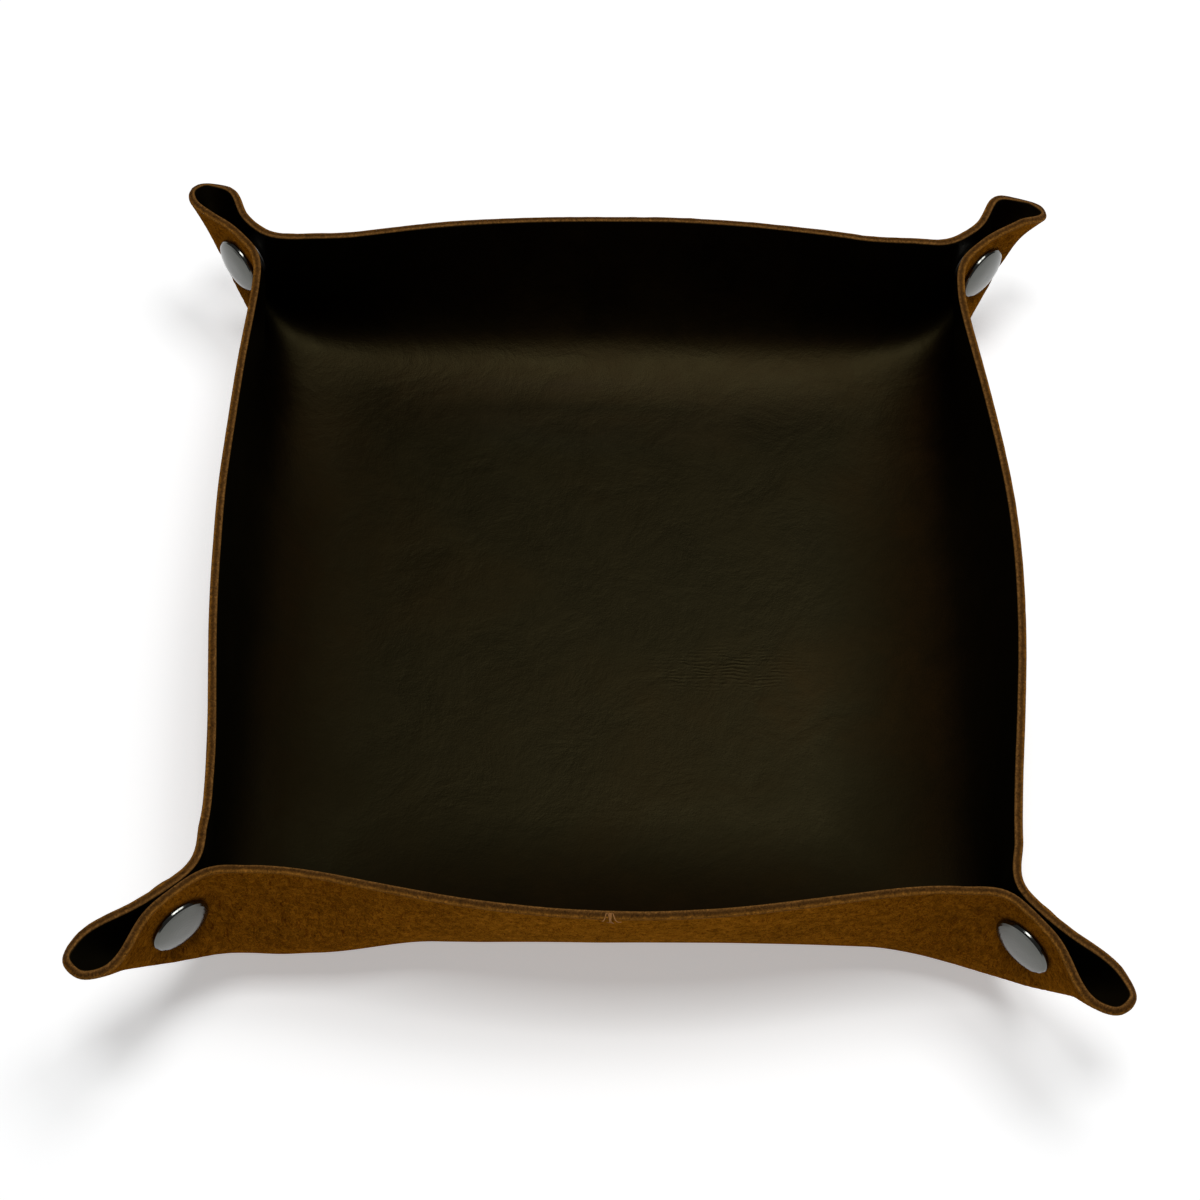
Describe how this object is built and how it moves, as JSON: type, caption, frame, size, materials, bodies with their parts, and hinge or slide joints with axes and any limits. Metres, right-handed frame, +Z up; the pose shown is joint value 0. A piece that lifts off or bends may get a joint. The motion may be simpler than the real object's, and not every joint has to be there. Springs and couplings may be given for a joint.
{
  "type": "snap-corner valet tray",
  "caption": "Square leather valet tray whose pinched, snapped corners stand the rim up as low walls; unsnapped, it folds out flat.",
  "frame": {"origin": "middle of the tray's outline in plan, on the underside that rests on the table", "axes": "+Z up out of the tray, -Y toward the front wall, whose two ears both carry a visible cap; +X to the right"},
  "size_m": [0.2342, 0.238, 0.0508],
  "materials": {
    "leather": "dark brown grain inside, tan nap outside",
    "cap_metal": "polished nickel",
    "snap_metal": "plain nickel plate"
  },
  "bodies": {
    "base": {"base_panel": "leather"},
    "wall_front": {"wall_front": "leather"},
    "wall_right": {"wall_right": "leather"},
    "wall_back": {"wall_back": "leather"},
    "wall_left": {"wall_left": "leather"},
    "ear_fl_front": {"ear_fl_front": "leather", "cap_fl": "cap_metal", "socket_fl": "snap_metal"},
    "ear_fl_left": {"ear_fl_left": "leather", "stud_fl": "snap_metal", "post_fl": "snap_metal"},
    "lip_fl_front": {"lip_fl_front": "leather"},
    "lip_fl_left": {"lip_fl_left": "leather"},
    "ear_fr_front": {"ear_fr_front": "leather", "cap_fr": "cap_metal", "socket_fr": "snap_metal"},
    "ear_fr_right": {"ear_fr_right": "leather", "stud_fr": "snap_metal", "post_fr": "snap_metal"},
    "lip_fr_front": {"lip_fr_front": "leather"},
    "lip_fr_right": {"lip_fr_right": "leather"},
    "ear_br_right": {"ear_br_right": "leather", "cap_br": "cap_metal", "socket_br": "snap_metal"},
    "ear_br_back": {"ear_br_back": "leather", "stud_br": "snap_metal", "post_br": "snap_metal"},
    "lip_br_right": {"lip_br_right": "leather"},
    "lip_br_back": {"lip_br_back": "leather"},
    "ear_bl_left": {"ear_bl_left": "leather", "cap_bl": "cap_metal", "socket_bl": "snap_metal"},
    "ear_bl_back": {"ear_bl_back": "leather", "stud_bl": "snap_metal", "post_bl": "snap_metal"},
    "lip_bl_left": {"lip_bl_left": "leather"},
    "lip_bl_back": {"lip_bl_back": "leather"}
  },
  "joints": [
    {"name": "fold_front", "type": "hinge", "parent": "base", "child": "wall_front", "pos_m": [-0.00049, -0.08905, 0.008], "axis": [0.9999, 0.001, -0.0171], "range_deg": [0, 73]},
    {"name": "fold_back", "type": "hinge", "parent": "base", "child": "wall_back", "pos_m": [-0.0006, 0.08697, 0.00348], "axis": [-1, 0.0007, -0.004], "range_deg": [0, 63.02]},
    {"name": "swing_br_back", "type": "hinge", "parent": "wall_back", "child": "ear_br_back", "pos_m": [0.08567, 0.08806, 0.02266], "axis": [-0.2367, -0.0751, -0.9687], "range_deg": [0, 33.02]},
    {"name": "curl_br_back", "type": "hinge", "parent": "ear_br_back", "child": "lip_br_back", "pos_m": [0.0976, 0.10382, 0.02217], "axis": [0.4255, 0.529, 0.7342], "range_deg": [0, 40.02], "deforming": ["lip_br_back"]},
    {"name": "swing_bl_back", "type": "hinge", "parent": "wall_back", "child": "ear_bl_back", "pos_m": [-0.08705, 0.0886, 0.02191], "axis": [-0.2447, 0.099, 0.9645], "range_deg": [0, 35.02]},
    {"name": "curl_bl_back", "type": "hinge", "parent": "ear_bl_back", "child": "lip_bl_back", "pos_m": [-0.09833, 0.10466, 0.02077], "axis": [0.3905, -0.5849, -0.7109], "range_deg": [0, 43.02], "deforming": ["lip_bl_back"]},
    {"name": "fold_left", "type": "hinge", "parent": "base", "child": "wall_left", "pos_m": [-0.08851, -0.00109, 0.00644], "axis": [0.0021, -0.9993, 0.036], "range_deg": [0, 67.52]},
    {"name": "swing_bl_left", "type": "hinge", "parent": "wall_left", "child": "ear_bl_left", "pos_m": [-0.08936, 0.08641, 0.02197], "axis": [0.0485, -0.2997, -0.9528], "range_deg": [0, 33.02]},
    {"name": "curl_bl_left", "type": "hinge", "parent": "ear_bl_left", "child": "lip_bl_left", "pos_m": [-0.10497, 0.09865, 0.02124], "axis": [-0.482, 0.4983, 0.7207], "range_deg": [0, 42.02], "deforming": ["lip_bl_left"]},
    {"name": "swing_fl_left", "type": "hinge", "parent": "wall_left", "child": "ear_fl_left", "pos_m": [-0.08881, -0.08727, 0.02835], "axis": [-0.0188, -0.2212, 0.975], "range_deg": [0, 33.02]},
    {"name": "curl_fl_left", "type": "hinge", "parent": "ear_fl_left", "child": "lip_fl_left", "pos_m": [-0.10497, -0.09832, 0.02923], "axis": [0.5066, 0.3859, -0.771], "range_deg": [0, 42.02], "deforming": ["lip_fl_left"]},
    {"name": "swing_fl_front", "type": "hinge", "parent": "wall_front", "child": "ear_fl_front", "pos_m": [-0.0869, -0.08895, 0.02838], "axis": [0.2307, 0.0014, -0.973], "range_deg": [0, 29.02]},
    {"name": "curl_fl_front", "type": "hinge", "parent": "ear_fl_front", "child": "lip_fl_front", "pos_m": [-0.09877, -0.10476, 0.02933], "axis": [-0.4211, -0.4736, 0.7736], "range_deg": [0, 42.02], "deforming": ["lip_fl_front"]},
    {"name": "swing_fr_front", "type": "hinge", "parent": "wall_front", "child": "ear_fr_front", "pos_m": [0.08667, -0.08993, 0.02566], "axis": [0.2751, -0.0571, 0.9597], "range_deg": [0, 33.02]},
    {"name": "curl_fr_front", "type": "hinge", "parent": "ear_fr_front", "child": "lip_fr_front", "pos_m": [0.09805, -0.10574, 0.0251], "axis": [-0.4424, 0.5316, -0.7223], "range_deg": [0, 44.02], "deforming": ["lip_fr_front"]},
    {"name": "fold_right", "type": "hinge", "parent": "base", "child": "wall_right", "pos_m": [0.08754, -0.0012, 0.00528], "axis": [0.0009, 0.9999, -0.0173], "range_deg": [0, 70.52]},
    {"name": "swing_fr_right", "type": "hinge", "parent": "wall_right", "child": "ear_fr_right", "pos_m": [0.08883, -0.08762, 0.02572], "axis": [-0.0853, 0.2454, -0.9657], "range_deg": [0, 30.02]},
    {"name": "curl_fr_right", "type": "hinge", "parent": "ear_fr_right", "child": "lip_fr_right", "pos_m": [0.10433, -0.09959, 0.02506], "axis": [0.5268, -0.447, 0.7229], "range_deg": [0, 42.02], "deforming": ["lip_fr_right"]},
    {"name": "swing_br_right", "type": "hinge", "parent": "wall_right", "child": "ear_br_right", "pos_m": [0.08801, 0.08584, 0.02261], "axis": [0.0403, 0.2723, 0.9614], "range_deg": [0, 33.02]},
    {"name": "curl_br_right", "type": "hinge", "parent": "ear_br_right", "child": "lip_br_right", "pos_m": [0.10392, 0.09753, 0.02223], "axis": [-0.5157, -0.4414, -0.7343], "range_deg": [0, 44.02], "deforming": ["lip_br_right"]}
  ],
  "couplings": [
    {"joint": "fold_back", "follows": "fold_front", "ratio": 0.86301},
    {"joint": "swing_br_back", "follows": "fold_front", "ratio": 0.45205},
    {"joint": "curl_br_back", "follows": "fold_front", "ratio": 0.54795},
    {"joint": "swing_bl_back", "follows": "fold_front", "ratio": 0.47945},
    {"joint": "curl_bl_back", "follows": "fold_front", "ratio": 0.58904},
    {"joint": "fold_left", "follows": "fold_front", "ratio": 0.92466},
    {"joint": "swing_bl_left", "follows": "fold_front", "ratio": 0.45205},
    {"joint": "curl_bl_left", "follows": "fold_front", "ratio": 0.57534},
    {"joint": "swing_fl_left", "follows": "fold_front", "ratio": 0.45205},
    {"joint": "curl_fl_left", "follows": "fold_front", "ratio": 0.57534},
    {"joint": "swing_fl_front", "follows": "fold_front", "ratio": 0.39726},
    {"joint": "curl_fl_front", "follows": "fold_front", "ratio": 0.57534},
    {"joint": "swing_fr_front", "follows": "fold_front", "ratio": 0.45205},
    {"joint": "curl_fr_front", "follows": "fold_front", "ratio": 0.60274},
    {"joint": "fold_right", "follows": "fold_front", "ratio": 0.96575},
    {"joint": "swing_fr_right", "follows": "fold_front", "ratio": 0.41096},
    {"joint": "curl_fr_right", "follows": "fold_front", "ratio": 0.57534},
    {"joint": "swing_br_right", "follows": "fold_front", "ratio": 0.45205},
    {"joint": "curl_br_right", "follows": "fold_front", "ratio": 0.60274}
  ]
}
